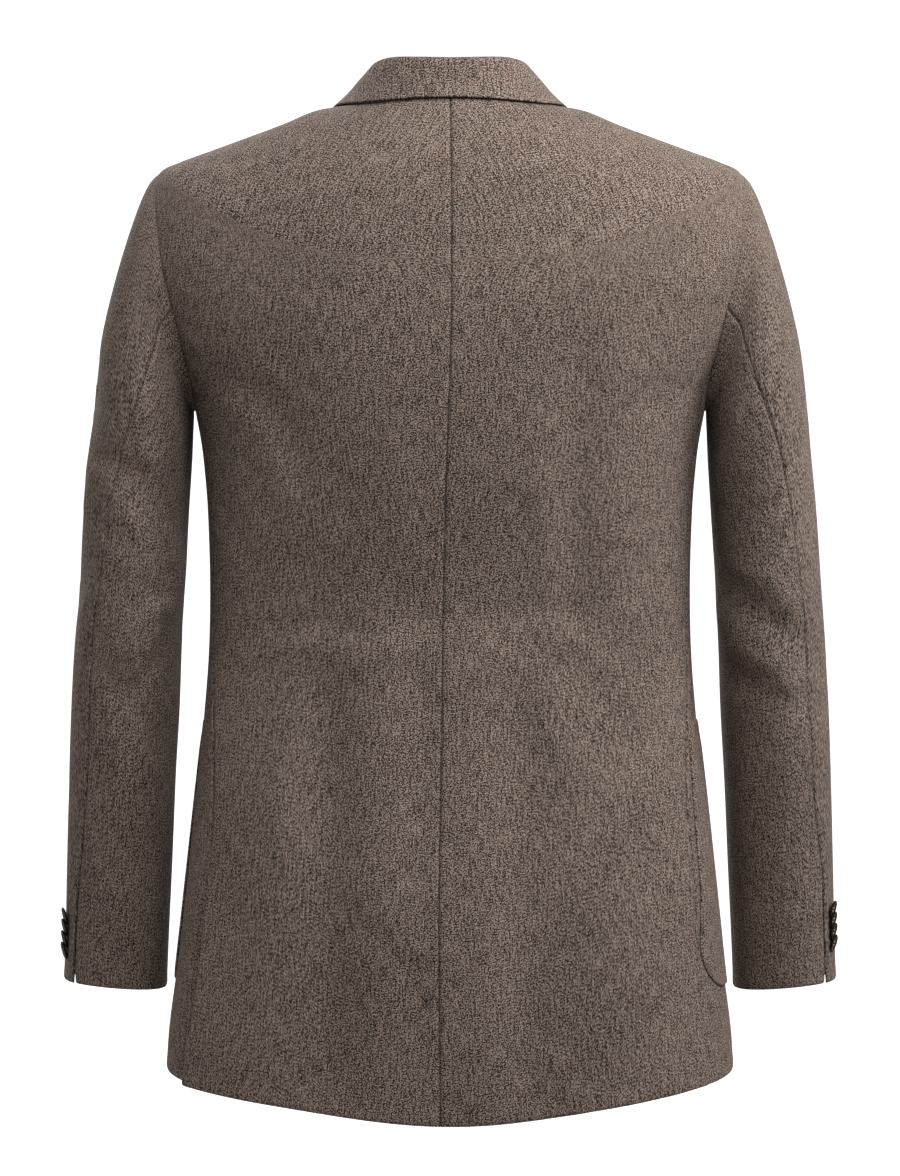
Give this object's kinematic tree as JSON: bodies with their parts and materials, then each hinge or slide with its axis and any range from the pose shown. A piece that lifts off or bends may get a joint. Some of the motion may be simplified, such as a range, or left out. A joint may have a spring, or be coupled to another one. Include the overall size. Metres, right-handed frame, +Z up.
{
  "type": "double-breasted blazer",
  "caption": "Hip-length double-breasted wool blazer in its worn, hollow form, with peak lapels, side vents, patch pockets and kissing cuff buttons.",
  "frame": {"origin": "middle of the neck opening, level with the points where the shoulder seams meet the collar, where the wearer's shoulders hold the jacket", "axes": "+X to the wearer's left, -Y to the front, +Z up"},
  "size_m": [0.584, 0.2755, 0.7722],
  "materials": {
    "cloth": "soft brown-grey wool twill, milled, without gloss",
    "horn": "dark brown horn, half polished"
  },
  "bodies": {
    "root": {"back_left": "cloth", "back_right": "cloth", "side_left": "cloth", "side_right": "cloth", "front_left": "cloth", "front_right": "cloth", "lapel_left": "cloth", "lapel_right": "cloth", "collar": "cloth", "pocket_left": "cloth", "pocket_right": "cloth", "sleeve_top_left": "cloth", "sleeve_top_right": "cloth", "sleeve_under_left": "cloth", "sleeve_under_right": "cloth", "cuff_button_left_1": "horn", "cuff_button_left_2": "horn", "cuff_button_left_3": "horn", "cuff_button_left_4": "horn", "cuff_button_right_1": "horn", "cuff_button_right_2": "horn", "cuff_button_right_3": "horn", "cuff_button_right_4": "horn", "front_button_1": "horn", "front_button_2": "horn", "front_button_3": "horn", "front_button_4": "horn", "front_button_5": "horn", "front_button_6": "horn"}
  },
  "joints": []
}
